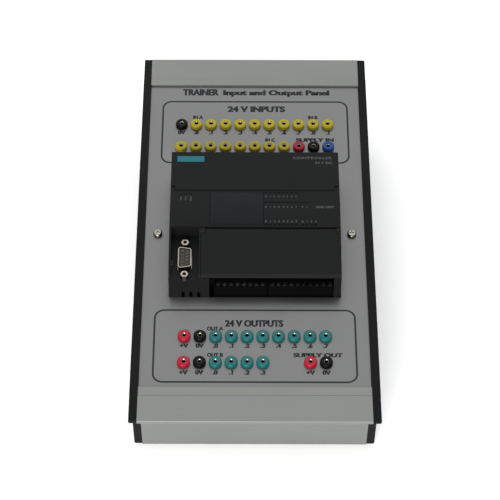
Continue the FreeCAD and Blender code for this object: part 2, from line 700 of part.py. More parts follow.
# ------------------------------------------------------------ controller housings
def make_rear_housing():
    """Rear tub with the rail channel, fixed hooks and the latch's guide."""
    x = plc_x
    tub = box(-x, x, plc_lower, plc_upper, plc_back, split)
    tub = rounded(tub, BACK_ROUND, lambda e: abs(e.CenterOfMass.z - (plc_back + split) / 2) < 0.01)
    w = PLC_WALL
    tub = tub.cut(box(-x + w, x - w, plc_lower + w, plc_upper - w, rear_floor, split + 1))
    half_channel = RAIL_WIDTH / 2 + CHANNEL_PLAY
    channel_y0 = PLC_CENTRE_Y - half_channel
    channel_y1 = PLC_CENTRE_Y + half_channel
    tub = tub.cut(box(-x - 1, x + 1, channel_y0, channel_y1, plc_back - 1, channel_top))
    guide = LATCH_WIDTH / 2 + DOOR_GAP
    block = guide + GUIDE_WALL
    pockets = [box(-x + w, -block, plc_lower + w, channel_y0 - w, plc_back - 1, channel_top),
               box(block, x - w, plc_lower + w, channel_y0 - w, plc_back - 1, channel_top),
               box(-x + w, x - w, channel_y1 + w, plc_upper - w, plc_back - 1, channel_top)]
    pockets.append(box(-guide, guide, plc_lower - 1, channel_y0 + 1,
                       latch_z0 - DOOR_GAP, latch_z1 + DOOR_GAP))
    tub = tub.cut(pockets)
    hook_top = plc_back + RAIL_HEIGHT - RAIL_GAUGE - RAIL_PLAY
    hook_y = PLC_CENTRE_Y + RAIL_HAT / 2 + RAIL_PLAY
    hooks = [box(inset - x, inset - x + HOOK_LENGTH, hook_y, channel_y1 + w / 4,
                 plc_back + HOOK_RISE, hook_top) for inset in HOOK_INSETS]
    bosses = [post(bx, by, rear_floor - w / 4, io_board_z, BOSS_RADIUS) for bx, by in board_corners]
    return fused([tub] + hooks + bosses)


def make_latch():
    """Sliding rail latch with a screwdriver slot in its tab."""
    nose = PLC_CENTRE_Y - RAIL_HAT / 2 - RAIL_PLAY
    half = LATCH_WIDTH / 2
    tab = plc_lower - LATCH_TAB
    latch = box(-half, half, tab, nose, latch_z0, latch_z1)
    slot = box(-half + LATCH_SLOT_WALL, half - LATCH_SLOT_WALL, tab + LATCH_SLOT_END,
               plc_lower - LATCH_SLOT_INNER, latch_z0 - 1, latch_z1 + 1)
    return latch.cut(slot)


def door_clearance(arch, x0, x1, axis_y, axis_z, slit_y, free_y, flange_z, side):
    """Room for a door: above its underside, around its knuckle and behind its flange."""
    top = crown + CLEAR
    inset = DOOR_THICK + DOOR_GAP
    y0, y1 = sorted((slit_y, free_y))
    room = [arch.above(x0, x1, y0, y1, inset, top)]
    room.append(rod_x(x0, x1, axis_y, axis_z, KNUCKLE + DOOR_GAP))
    y0, y1 = sorted((free_y - side * (DOOR_THICK + DOOR_GAP), free_y + side * CLEAR))
    room.append(box(x0, x1, y0, y1, flange_z - DOOR_GAP, top))
    return room


def hinge_ear(x0, x1, axis_y, axis_z, slit_y, side):
    """Rounded ear beside a door's knuckle; the door's corner turns around it."""
    y0, y1 = sorted((slit_y, axis_y + side * EAR_RADIUS))
    foot = axis_z - EAR_DEPTH
    block = box(x0, x1, y0, y1, foot, axis_z + KNUCKLE)
    y0, y1 = sorted((slit_y, axis_y))
    keep = fused([rod_x(x0, x1, axis_y, axis_z, EAR_RADIUS),
                  box(x0, x1, y0, y1, foot, axis_z + KNUCKLE)])
    low = box(x0, x1, axis_y - EAR_RADIUS, axis_y + EAR_RADIUS, foot, axis_z)
    return block.common(fused([keep, low]))


def housing_outline():
    """Closed section of the front shell without its band: doors' arches, skirt and sides."""
    corners = [(lower_edge_y, lower_arch.z(lower_edge_y)), (skirt_y, skirt_top),
               (plc_lower, panel_top), (plc_lower, split), (plc_upper, split),
               (plc_upper, upper_arch.z(plc_upper))]
    edges = [line(corners[i], corners[i + 1]) for i in range(5)]
    edges.append(upper_arch.edge(plc_upper, band_upper))
    edges.append(line((band_upper, upper_arch.z(band_upper)), (band_lower, lower_arch.z(band_lower))))
    edges.append(lower_arch.edge(band_lower, lower_edge_y))
    return edges


def hollows():
    """Rooms behind the boards, under the band and behind the serial port."""
    x = plc_x - PLC_WALL
    w = PLC_WALL
    lower = plc_lower + PLUG_DEPTH + 2 * w
    upper = plc_upper - PLUG_DEPTH - 2 * w
    return [box(-x, x, lower, upper, split - 1, well_floor - w),
            band_arch.slab(-x, x, band_lower + w, band_upper - w, w, crown - well_floor + w),
            box(-x, port_right - w / 4, serial_y - serial_flange / 2 - EDGE_PLAY,
                band_lower - w / 4, main_board_z - 1, port_floor - w)]


def terminal_cuts():
    """Wells under the doors and bays for the plugs, with the upper wires' slot."""
    w = PLC_WALL
    top = crown + CLEAR
    wall = PLUG_DEPTH + w + 1
    lap = wall + 2 * SLIDE
    outside = plc_lower - 1
    return [box(w - plc_x, plc_x - w, band_upper, plc_upper - wall, well_floor, top),
            box(lower_door_left + 1, plc_x - w, plc_lower + wall, band_lower, well_floor, top),
            box(lower_bay_left, bay_right, outside, plc_lower + lap, plug_foot, top),
            box(upper_bay_left, bay_right, plc_upper - lap, plc_upper - w, plug_foot, top),
            box(upper_bay_left + 1, bay_right - 1, plc_upper - w - 1, plc_upper + 1,
                entry_z - ENTRY, entry_z + ENTRY)]


def port_cuts():
    """Network jack pocket, serial port recess with its holes, and the vents."""
    w = PLC_WALL
    cuts = [box(jack_left - BAY_GAP, jack_left + JACK_WIDTH + BAY_GAP, plc_upper - JACK_DEPTH - 1,
                plc_upper + 1, main_board_z + BOARD_THICK, jack_top + DOOR_GAP),
            box(PORT_RIM - plc_x, port_right, plc_lower - 1, band_lower, port_floor, crown + CLEAR),
            serial_outline(PORT_OPENING, port_floor - w - 1, port_floor + 1)]
    for y in serial_ends:
        cuts.append(post(serial_x, y, port_floor - w - 1, port_floor + 1, JACK_SCREW_HOLE / 2))
    for i in range(VENTS):
        vent_x = serial_x - VENT_SHIFT + VENT_PITCH * i
        cuts.append(box(vent_x - VENT_WIDTH / 2, vent_x + VENT_WIDTH / 2, plc_lower - 1,
                        plc_lower + 2 * w, panel_top - VENT_SINK, panel_top + VENT_RISE))
    return cuts


def pin_hole(x, side, axis_y, axis_z):
    """Blind hole for a hinge pin in the ear whose inner face is at x."""
    x0, x1 = sorted((x - side, x + side * PIN_LENGTH))
    return rod_x(x0, x1, axis_y, axis_z, PIN_RADIUS + PIN_CLEARANCE)


def make_front_housing():
    """Front shell: band, door wells, terminal bays, port recess, windows and vents."""
    x = plc_x
    band = band_arch.slab(-x, x, band_lower, band_upper, 0, PLC_SPLIT / 2)
    band = rounded(band, EDGE_ROUND, lambda e: abs(abs(e.CenterOfMass.x) - x) < 0.01
                   and e.CenterOfMass.z > crown - 5 and e.Length > EDGE_ROUND * 5)
    shell = prism_of(housing_outline(), -x, x).fuse(band)
    shell = shell.cut(hollows() + terminal_cuts() + port_cuts())
    upper_room = door_clearance(upper_arch, -x - 1, x + 1, upper_axis_y, upper_axis_z, band_upper,
                                plc_upper, upper_flange_z, 1)
    lower_room = door_clearance(lower_arch, lower_door_left, x + 1, lower_axis_y, lower_axis_z,
                                band_lower, skirt_y, skirt_top, -1)
    shell = shell.cut(upper_room + lower_room)
    ear = EAR_THICK
    low = lower_door_left
    ears = [hinge_ear(x - ear, x, upper_axis_y, upper_axis_z, band_upper, 1),
            hinge_ear(-x, -x + ear, upper_axis_y, upper_axis_z, band_upper, 1),
            hinge_ear(x - ear, x, lower_axis_y, lower_axis_z, band_lower, -1),
            hinge_ear(low - PORT_DOOR_GAP / 2, low + ear, lower_axis_y, lower_axis_z, band_lower, -1)]
    openings = [pin_hole(x - ear, 1, upper_axis_y, upper_axis_z),
                pin_hole(-x + ear, -1, upper_axis_y, upper_axis_z),
                pin_hole(x - ear, 1, lower_axis_y, lower_axis_z),
                pin_hole(low + ear, -1, lower_axis_y, lower_axis_z)]
    openings.append(band_arch.slab(cover_x0 - COVER_PLAY, cover_x1 + COVER_PLAY, cover_y0 - COVER_PLAY,
                                   cover_y1 + COVER_PLAY, -1.0, PLC_WALL + 1))
    half_x = LIGHT_X / 2 + 2 * SLIDE
    half_y = LIGHT_Y / 2 + 2 * SLIDE
    openings += [box(lx - half_x, lx + half_x, ly - half_y, ly + half_y, crown - CLEAR, crown + 2)
                 for lx, ly in light_places()]
    return fused([shell] + ears).cut(openings)


def ways_width(ways):
    return ways * TERMINAL_PITCH + 2 * TERMINAL_END


def plugs_left(ways):
    """Left side of the first plug, when the last one stands at the bay's right end."""
    return bay_right - BAY_GAP - PLUG_GAP - sum(ways_width(count) for count in ways)


upper_bay_left = plugs_left(UPPER_WAYS) - BAY_GAP
lower_bay_left = plugs_left(LOWER_WAYS) - BAY_SPARE


def light_places():
    """Middles of the light guides: three status lights, then the input and output rows."""
    places = [(STATUS_X - plc_x + STATUS_PITCH * i, band_upper - STATUS_DROP)
              for i in range(STATUS_LIGHTS)]
    for y, counts in zip(light_rows, LIGHT_GROUPS):
        x = cover_x1 + LIGHT_START
        for count in counts:
            places += [(x + LIGHT_PITCH * i, y) for i in range(count)]
            x += LIGHT_PITCH * count + LIGHT_SPLIT
    return places


def make_light_guides():
    guides = []
    for x, y in light_places():
        guides.append(band_arch.slab(x - LIGHT_X / 2, x + LIGHT_X / 2, y - LIGHT_Y / 2,
                                     y + LIGHT_Y / 2, LIGHT_SUNK, 2 * PLC_WALL))
    return Part.makeCompound(guides)


def make_expansion_cover():
    """Blank cover clipped over the expansion board's window."""
    cover = band_arch.slab(cover_x0, cover_x1, cover_y0, cover_y1, -COVER_PROUD, PLC_WALL)
    return rounded(cover, COVER_ROUND,
                   lambda e: e.CenterOfMass.z > band_arch.z(e.CenterOfMass.y) - PLC_WALL / 2)


def make_door(arch, x0, x1, axis_y, axis_z, free_y, end, side, pin_ends):
    """Curved door with a rolled hinge edge, notched corners, two pins and an end flange."""
    y0, y1 = sorted((axis_y, free_y))
    plate = arch.slab(x0, x1, y0, y1, 0, DOOR_THICK)
    end_y, end_z = end
    t = DOOR_THICK
    flange = prism_x([(free_y, arch.z(free_y)), (end_y, end_z), (end_y - side * t, end_z),
                      (free_y - side * t, arch.z(free_y - side * t) - FLANGE_LAP)], x0, x1)
    left, right = pin_ends
    knuckle = rod_x(left, right, axis_y, axis_z, KNUCKLE)
    door = fused([plate, flange, knuckle])
    reach = EAR_RADIUS + DOOR_GAP
    ny0, ny1 = sorted((axis_y - side * (KNUCKLE + 1), axis_y + side * reach))
    door = door.cut([box(x0 - 1, left, ny0, ny1, axis_z - CLEAR, axis_z + CLEAR),
                     box(right, x1 + 1, ny0, ny1, axis_z - CLEAR, axis_z + CLEAR)])
    pin_reach = DOOR_GAP + PIN_LENGTH - PIN_END
    pins = rod_x(left - pin_reach, right + pin_reach, axis_y, axis_z, PIN_RADIUS)
    return fused([door, pins])


def make_upper_door():
    left = -plc_x + EAR_THICK + DOOR_GAP
    door = make_door(upper_arch, -plc_x, plc_x, upper_axis_y, upper_axis_z, plc_upper,
                     (plc_upper, upper_flange_z), 1, (left, -left))
    return door


def make_lower_door():
    left = lower_door_left + EAR_THICK + DOOR_GAP
    right = plc_x - EAR_THICK - DOOR_GAP
    return make_door(lower_arch, lower_door_left + DOOR_GAP, plc_x, lower_axis_y, lower_axis_z,
                     lower_edge_y, (skirt_y, skirt_top), -1, (left, right))


def make_name_plate():
    """Thin blank plate on the upper door, following its curve."""
    x0 = PLATE_X - plc_x
    y1 = plc_upper - PLATE_EDGE
    return upper_arch.slab(x0, x0 + PLATE_WIDTH, y1 - PLATE_HEIGHT, y1, -PLATE_PROUD, 0)


# ------------------------------------------------------------ terminals
def terminal_xs(ways, first_left):
    """Way centres of the plugs laid side by side from the bay's left end."""
    xs = []
    left = first_left
    for count in ways:
        xs.append([left + TERMINAL_END + TERMINAL_PITCH * (i + 0.5) for i in range(count)])
        left += ways_width(count) + PLUG_GAP
    return xs


lower_xs = terminal_xs(LOWER_WAYS, plugs_left(LOWER_WAYS))
upper_xs = terminal_xs(UPPER_WAYS, plugs_left(UPPER_WAYS))


def make_plug(xs, face_y, side, well_y):
    """Plug with its outer face at face_y; wires enter below the panel."""
    x0 = xs[0] - TERMINAL_PITCH / 2 - TERMINAL_END
    x1 = xs[-1] + TERMINAL_PITCH / 2 + TERMINAL_END
    y0, y1 = sorted((face_y, face_y + side * PLUG_DEPTH))
    plug = box(x0, x1, y0, y1, plug_foot, plug_top)
    return plug.cut(plug_holes(xs, face_y, side, well_y))


def plug_holes(xs, face_y, side, well_y):
    """Square wire entries in the outer face and round screw wells in the top."""
    holes = []
    for x in xs:
        y0, y1 = sorted((face_y - side, face_y + side * (PLUG_DEPTH - 2)))
        holes.append(box(x - ENTRY / 2, x + ENTRY / 2, y0, y1, entry_z - ENTRY / 2, entry_z + ENTRY / 2))
        holes.append(post(x, well_y, plug_top - WELL_DEPTH, plug_top + 1, SCREW_WELL))
    return holes


def make_terminal_screws(groups, well_y):
    screws = []
    for xs in groups:
        for x in xs:
            head = plug_top - SCREW_SUNK
            screw = post(x, well_y, plug_top - WELL_DEPTH, head, SCREW_WELL - WELL_SCREW_PLAY)
            screws.append(screw.cut(box(x - SCREW_WELL, x + SCREW_WELL, well_y - SLOT_WIDTH / 2,
                                        well_y + SLOT_WIDTH / 2, head - SLOT_DEPTH, plug_top)))
    return Part.makeCompound(screws)


# ------------------------------------------------------------ serial port
def serial_outline(growth, z0, z1):
    """D-shaped prism, long side on the left, grown all round."""
    long_half = SERIAL_LONG / 2
    short_half = long_half - SERIAL_SHORT * math.tan(math.radians(SERIAL_TAPER))
    half = SERIAL_SHORT / 2
    corners = [(-half, -long_half), (half, -short_half), (half, short_half), (-half, long_half)]
    points = [Vector(serial_x + cx, serial_y + cy, z0) for cx, cy in corners]
    solid = Part.Face(Part.makePolygon(points + points[:1])).extrude(Vector(0, 0, z1 - z0))
    solid = rounded(solid, SERIAL_ROUND, lambda e: abs(e.CenterOfMass.z - (z0 + z1) / 2) < 0.01)
    if growth == 0:
        return solid
    base = min(solid.Faces, key=lambda f: f.CenterOfMass.z)
    grown = base.makeOffset2D(growth)
    return Part.Face(grown.Wires[0]).extrude(Vector(0, 0, z1 - z0))


def make_serial_shell():
    """Drawn steel shell with its flange under the recess floor."""
    top = port_floor + SERIAL_RISE
    flange_foot = flange_top - SHELL_FLANGE_THICK
    half = SHELL_FLANGE_WIDTH / 2
    flange = box(serial_x - half, serial_x + half, serial_y - serial_flange / 2,
                 serial_y + serial_flange / 2, flange_foot, flange_top)
    shell = fused([flange, serial_outline(0, flange_foot, top)])
    shell = shell.cut(serial_outline(-SHELL_WALL, flange_foot - 1, top + 1))
    holes = [post(serial_x, y, flange_foot - 1, flange_top + 1, STUD / 2 + 2 * SLIDE)
             for y in serial_ends]
    return shell.cut(holes)


def make_serial_insulator():
    """Moulding with nine contact holes, standing on the main board."""
    top = port_floor + SERIAL_RISE - INSULATOR_SUNK
    body = serial_outline(-SHELL_WALL - SLIDE, main_board_z + BOARD_THICK, top)
    holes = []
    for count, x in ((5, -CONTACT_ROWS / 2), (4, CONTACT_ROWS / 2)):
        for i in range(count):
            y = serial_y + (i - (count - 1) / 2) * CONTACT_PITCH
            holes.append(post(serial_x + x, y, top - CONTACT_DEPTH, top + 1, CONTACT_HOLE / 2))
    return body.cut(holes)


def make_serial_jack_screws():
    screws = []
    top = port_floor + SERIAL_RISE - JACK_SCREW_SUNK
    for y in serial_ends:
        nut = hexagon(serial_x, y, flange_top, top, JACK_SCREW_FLATS)
        stud = post(serial_x, y, flange_top - STUD_LENGTH, flange_top, STUD / 2)
        bore = post(serial_x, y, top - JACK_SCREW_DEPTH, top + 1, JACK_SCREW_BORE / 2)
        screws.append(nut.fuse(stud).removeSplitter().cut(bore))
    return Part.makeCompound(screws)


# ------------------------------------------------------------ network jack and boards
def make_network_jack():
    x0 = jack_left
    z0 = main_board_z + BOARD_THICK
    y1 = plc_upper - 2 * SLIDE
    body = box(x0, x0 + JACK_WIDTH, plc_upper - JACK_DEPTH + 1, y1, z0, jack_top)
    mid = x0 + JACK_WIDTH / 2
    back = y1 - JACK_MOUTH_DEPTH
    floor = z0 + JACK_FLOOR
    roof = floor + JACK_MOUTH_HEIGHT
    mouth = box(mid - JACK_MOUTH_WIDTH / 2, mid + JACK_MOUTH_WIDTH / 2, back, y1 + 1, floor, roof)
    key = box(mid - JACK_KEY_WIDTH / 2, mid + JACK_KEY_WIDTH / 2, back, y1 + 1, floor,
              roof + JACK_KEY_HEIGHT)
    return body.cut([mouth, key])


def board(z, y0, y1):
    plate = box(BOARD_SIDE - plc_x, plc_x - BOARD_SIDE, y0, y1, z, z + BOARD_THICK)
    return plate.cut([post(x, y, z - 1, z + BOARD_THICK + 1, BOARD_HOLE) for x, y in board_corners])


def make_main_board():
    inset = PLUG_DEPTH + 2 * PLC_WALL + BOARD_GAP
    return board(main_board_z, plc_lower + inset, plc_upper - inset)


def make_io_board():
    return board(io_board_z, plc_lower + BOARD_END, plc_upper - BOARD_END)


def make_board_pillars():
    return Part.makeCompound([post(x, y, io_board_z + BOARD_THICK, main_board_z, PILLAR_RADIUS)
                              for x, y in board_corners])


def make_board_connector():
    half = CONNECTOR_LENGTH / 2
    y = PLC_CENTRE_Y + CONNECTOR_Y
    return box(-half, half, y - CONNECTOR_WIDTH / 2, y + CONNECTOR_WIDTH / 2,
               io_board_z + BOARD_THICK, main_board_z)


def make_capacitors():
    z = io_board_z + BOARD_THICK
    room = main_board_z - z
    tall = room * CAN_SHARE
    short = room * SMALL_CAN_SHARE
    cans = [post(CAN_X + CAN_PITCH * i, PLC_CENTRE_Y - CAN_Y, z, z + tall, CAN_RADIUS)
            for i in range(2)]
    cans.append(post(CAN_X, PLC_CENTRE_Y - SMALL_CAN_Y, z, z + short, SMALL_CAN_RADIUS))
    return Part.makeCompound([rounded(can, CAN_ROUND, lambda e: len(e.Vertexes) == 1 and
                                      e.CenterOfMass.z > z + 1) for can in cans])


def make_chips():
    z = main_board_z + BOARD_THICK
    return Part.makeCompound([box(x, x + size, PLC_CENTRE_Y + y - size / 2, PLC_CENTRE_Y + y + size / 2,
                                  z, z + CHIP_THICK) for x, y, size in CHIPS])


# ------------------------------------------------------------ wiring
def wire_tube(points):
    """Round wire along straight runs joined by tangent arcs."""
    edges = []
    previous = points[0]
    for i in range(1, len(points) - 1):
        corner = points[i]
        back = points[i - 1] - corner
        ahead = points[i + 1] - corner
        turn = math.pi - back.getAngle(ahead)
        radius = BEND * min(back.Length, ahead.Length) / math.tan(turn / 2)
        cut = radius * math.tan(turn / 2)
        back.normalize()
        ahead.normalize()
        start = corner + back * cut
        end = corner + ahead * cut
        inward = back + ahead
        inward.normalize()
        middle = corner + inward * (radius / math.cos(turn / 2) - radius)
        edges.append(Part.LineSegment(previous, start).toShape())
        edges.append(Part.Arc(start, middle, end).toShape())
        previous = end
    edges.append(Part.LineSegment(previous, points[-1]).toShape())
    path = Part.Wire(edges)
    heading = points[1] - points[0]
    ring = Part.Wire(Part.makeCircle(WIRE / 2, points[0], heading))
    return path.makePipeShell([ring], True, False)


def route(socket, way_x, entry_y, side, far):
    """From a socket's tail, below the panel, up to a terminal's wire entry."""
    x, y, colour = socket
    level = tail_foot - (DROP_FAR if far else DROP_NEAR)
    riser = entry_y + side * (RISER_FAR if far else RISER_NEAR)
    inside = entry_y - side * ENTRY_GRIP
    return [Vector(x, y, tail_foot), Vector(x, y, level), Vector(way_x, riser, level),
            Vector(way_x, entry_y + side * ENTRY_RUN, entry_z), Vector(way_x, inside, entry_z)]


def make_wires(sockets, ways, entry_y, side, rows):
    """One wire from each socket of two rows to the terminals, in order across X."""
    near, far = rows
    chosen = [s for s in sockets if s[1] in rows and s[2] != "blue"]
    chosen.sort(key=lambda s: (s[0], s[1] == near))
    flat = [x for xs in ways for x in xs]
    wires = [wire_tube(route(s, way, entry_y, side, s[1] == far)) for s, way in zip(chosen, flat)]
    return Part.makeCompound(wires)


def make_earth_wire(sockets):
    x, y, colour = [s for s in sockets if s[2] == "blue"][0]
    end = plc_back + RAIL_HEIGHT + EARTH_RISE
    low = end + EARTH_SAG
    face = PLC_CENTRE_Y + HANGER_FLATS / 2
    return wire_tube([Vector(x, y, tail_foot), Vector(x, y, low),
                      Vector(rail_screw_x, plc_upper + EARTH_TURN, end),
                      Vector(rail_screw_x, face, end)])


# ------------------------------------------------------------ assembly
def build():
    sockets = socket_places()
    front = make_extrusion()
    right = make_side_plate()
    nodes = {
        "front_extrusion": front,
        "rear_extrusion": mirrored_y(front),
        "right_side_plate": right,
        "left_side_plate": mirrored_x(right),
        "side_plate_screws": make_side_screws(),
        "base_plate": make_base_plate(),
        "rubber_feet": make_feet(),
        "face_panel": make_face_panel(sockets),
        "socket_contacts": Part.makeCompound([make_contact(x, y) for x, y, c in sockets]),
        "socket_nuts": Part.makeCompound([make_nut(x, y) for x, y, c in sockets]),
        "mounting_rail": make_rail(),
        "rail_hangers": make_hangers(),
        "panel_screws": make_screw_pair(panel_top, 1, PANEL_THICK + SCREW_LENGTH),
        "rail_washers": make_washers(),
        "rail_screws": make_screw_pair(plc_back - WASHER_THICK, -1,
                                       RAIL_GAUGE + WASHER_THICK + SCREW_LENGTH),
        "rear_housing": make_rear_housing(),
        "front_housing": make_front_housing(),
        "rail_latch": make_latch(),
        "upper_terminal_door": make_upper_door(),
        "lower_terminal_door": make_lower_door(),
        "name_plate": make_name_plate(),
        "expansion_cover": make_expansion_cover(),
        "light_guides": make_light_guides(),
        "upper_terminal_screws": make_terminal_screws(upper_xs, upper_well_y),
        "lower_terminal_screws": make_terminal_screws(lower_xs, lower_well_y),
        "serial_port_shell": make_serial_shell(),
        "serial_port_insulator": make_serial_insulator(),
        "serial_jack_screws": make_serial_jack_screws(),
        "network_jack": make_network_jack(),
        "main_circuit_board": make_main_board(),
        "io_circuit_board": make_io_board(),
        "board_pillars": make_board_pillars(),
        "board_connector": make_board_connector(),
        "board_capacitors": make_capacitors(),
        "board_chips": make_chips(),
        "input_wires": make_wires(sockets, upper_xs, plc_upper - PLC_WALL, 1, (row_2_y, row_1_y)),
        "output_wires": make_wires(sockets, lower_xs, plc_lower + PLUG_BACK, -1,
                                   (row_3_y, row_4_y)),
        "earth_wire": make_earth_wire(sockets),
    }
    for colour in ("yellow", "black", "red", "blue", "teal"):
        bushes = [make_insulator(x, y) for x, y, c in sockets if c == colour]
        nodes[colour + "_socket_bushes"] = Part.makeCompound(bushes)
    for name, xs in zip(("left", "right"), upper_xs):
        nodes["upper_terminal_plug_" + name] = make_plug(xs, plc_upper - PLC_WALL - BAY_GAP, -1,
                                                         upper_well_y)
    for name, xs in zip(("left", "right"), lower_xs):
        nodes["lower_terminal_plug_" + name] = make_plug(xs, plc_lower + PLUG_BACK, 1, lower_well_y)
    return nodes


def main():
    os.makedirs("parts", exist_ok=True)
    for name, shape in build().items():
        shape.exportStep(os.path.join("parts", name + ".step"))
        box_of = shape.BoundBox
        print("%-26s solids %3d valid %s volume %9.1f  z %.1f to %.1f" % (
            name, len(shape.Solids), shape.isValid(), shape.Volume, box_of.ZMin, box_of.ZMax))


main()
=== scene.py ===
"""Looks for the bench-top controller trainer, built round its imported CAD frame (metres)."""
import json
import math

import bmesh
import bpy
from mathutils import Matrix, Vector


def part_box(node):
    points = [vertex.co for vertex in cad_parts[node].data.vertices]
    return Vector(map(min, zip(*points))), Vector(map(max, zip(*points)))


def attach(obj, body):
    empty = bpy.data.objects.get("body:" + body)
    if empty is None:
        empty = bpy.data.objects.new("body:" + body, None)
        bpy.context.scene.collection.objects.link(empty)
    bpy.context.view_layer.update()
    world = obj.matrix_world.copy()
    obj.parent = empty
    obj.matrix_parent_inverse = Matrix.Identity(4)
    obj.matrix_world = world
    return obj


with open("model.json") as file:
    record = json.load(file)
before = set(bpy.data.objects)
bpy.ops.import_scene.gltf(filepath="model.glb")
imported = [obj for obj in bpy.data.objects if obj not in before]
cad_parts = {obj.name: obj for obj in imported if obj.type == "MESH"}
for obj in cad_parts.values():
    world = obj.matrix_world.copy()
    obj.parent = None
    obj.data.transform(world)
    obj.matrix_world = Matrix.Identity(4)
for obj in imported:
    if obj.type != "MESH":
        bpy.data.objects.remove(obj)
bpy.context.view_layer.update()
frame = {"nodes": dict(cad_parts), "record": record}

MM = 0.001

# ------------------------------------------------------------ places, from the frame
panel_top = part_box("face_panel")[1].z
above_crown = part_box("front_housing")[1].z + 5 * MM
COVER_GAPS = (1.8 * MM, 2.0 * MM)       # expansion cover from the band's lower and upper edges
band_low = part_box("expansion_cover")[0].y - COVER_GAPS[0]
band_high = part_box("expansion_cover")[1].y + COVER_GAPS[1]

# ------------------------------------------------------------ view and light
SENSOR = 36.0
LENS = 130.8
CAMERA_PLACE = (-6.0 * MM, -720.1 * MM, 1022.4 * MM)
CAMERA_TILT = 36.35
CAMERA_YAW = -0.232
CAMERA_ROLL = 0.351
WORLD_LEVEL = 0.62
FLOOR_HALF = 4.0
FLOOR_GLOW = 0.2
# name, place, size, power, colour
LIGHTS = (("softbox_back", (0.0, 1.05, 1.45), 2.4, 18, (1.0, 0.99, 0.97)),
          ("softbox_front", (-0.3, -1.5, 0.75), 1.2, 28, (1.0, 0.99, 0.96)))

# ------------------------------------------------------------ print on the panel
PRINT_THICK = 0.05 * MM
COPY_STEP = 0.01 * MM           # step in height between a letter's copies
SOCKET_PITCH = 10.0 * MM
OUTPUT_PITCH = 9.9 * MM
ROW_Y = {1: 88.5 * MM, 3: -85.8 * MM, 4: -105.3 * MM}
LABEL_DROP = {1: 6.5 * MM, 3: 6.7 * MM, 4: 7.0 * MM}    # socket centre to its label's middle
LABEL_HEIGHT = 3.1 * MM
FRAME_RADIUS = 6.0 * MM
FRAME_LINE = 1.2 * MM
# name, then x and y limits in millimetres
FRAMES = (("input_frame", -63.2, 63.8, 55.5, 109.9),
          ("output_frame", -63.5, 63.5, -119.3, -65.4))
# name, words, then x and y limits in millimetres
HEADINGS = (("title_bold", "TRAINER", -50, -25, 115.7, 121.3),
            ("title_line", "Input and Output Panel", -22, 52, 114.6, 120.6),
            ("input_heading", "24 V INPUTS", -18.8, 21, 100.6, 105.8),
            ("output_heading", "24 V OUTPUTS", -19, 18, -78.0, -73.0),
            ("supply_in", "SUPPLY IN", 28, 54, 74.1, 77.2),
            ("supply_out", "SUPPLY OUT", 24, 55, -100.9, -97.8))
GROUP_HEIGHT = 2.9 * MM
# name, words, then the middle in millimetres
GROUPS = (("group_a", "IN A", -39, 95.8), ("group_b", "IN B", 40, 95.8),
          ("group_c", "IN C", 10.5, 75.5), ("group_d", "OUT A", -25.2, -79.5),
          ("group_e", "OUT B", -25.0, -99.3))

# ------------------------------------------------------------ marks on the controller
LIGHT_PITCH = 2.8 * MM
LIGHT_SPLIT = 1.2 * MM          # extra gap between two groups of lights
FIRST_LIGHT_X = 7.0 * MM
NUMBER_HEIGHT = 1.6 * MM
STATUS_X = -48.0 * MM
STATUS_PITCH = 3.2 * MM
STATUS_DROP = 7.4 * MM          # status words from the band's upper edge
STATUS_HEIGHT = 1.2 * MM
PORT_WORD = (-53.2 * MM, -38.5 * MM, 1.3 * MM)          # middle and height
UNIT_WORDS = (45.3 * MM, 14.5 * MM, 1.9 * MM)           # middle, drop from the edge, height
DOOR_RIGHT = 51.0 * MM
DOOR_WORD_HEIGHT = 2.2 * MM
DOOR_WORDS = (("CONTROLLER", 39.9 * MM, 26 * MM), ("24 V DC", 35.6 * MM, 11.5 * MM))   # middle, width

# ------------------------------------------------------------ serial port contacts
CONTACT_PITCH = 2.77 * MM
CONTACT_COLUMNS = ((5, -1.42 * MM), (4, 1.42 * MM))     # how many, from the port's middle
SLEEVE_OUTER = 0.55 * MM
SLEEVE_INNER = 0.36 * MM
SLEEVE_TOP = -0.25 * MM         # from the insulator's face
SLEEVE_FOOT = -3.0 * MM
SLEEVE_SIDES = 16


# ------------------------------------------------------------ camera, floor and light
def make_camera():
    """Viewpoint above and in front, about 54 degrees above the horizon."""
    data = bpy.data.cameras.new("view")
    data.sensor_width = SENSOR
    data.lens = LENS
    camera = bpy.data.objects.new("view", data)
    bpy.context.scene.collection.objects.link(camera)
    tilt = Matrix.Rotation(math.radians(CAMERA_TILT), 4, "X")
    yaw = Matrix.Rotation(math.radians(CAMERA_YAW), 4, "Z")
    roll = Matrix.Rotation(math.radians(CAMERA_ROLL), 4, "Z")
    camera.matrix_world = Matrix.Translation(CAMERA_PLACE) @ yaw @ tilt @ roll
    bpy.context.scene.camera = camera


def make_light(name, place, size, power, colour):
    data = bpy.data.lights.new(name, "AREA")
    data.shape = "DISK"
    data.size = size
    data.energy = power
    data.color = colour
    light = bpy.data.objects.new(name, data)
    bpy.context.scene.collection.objects.link(light)
    light.location = place
    light.rotation_mode = "QUATERNION"
    light.rotation_quaternion = (-Vector(place)).to_track_quat("-Z", "Y")


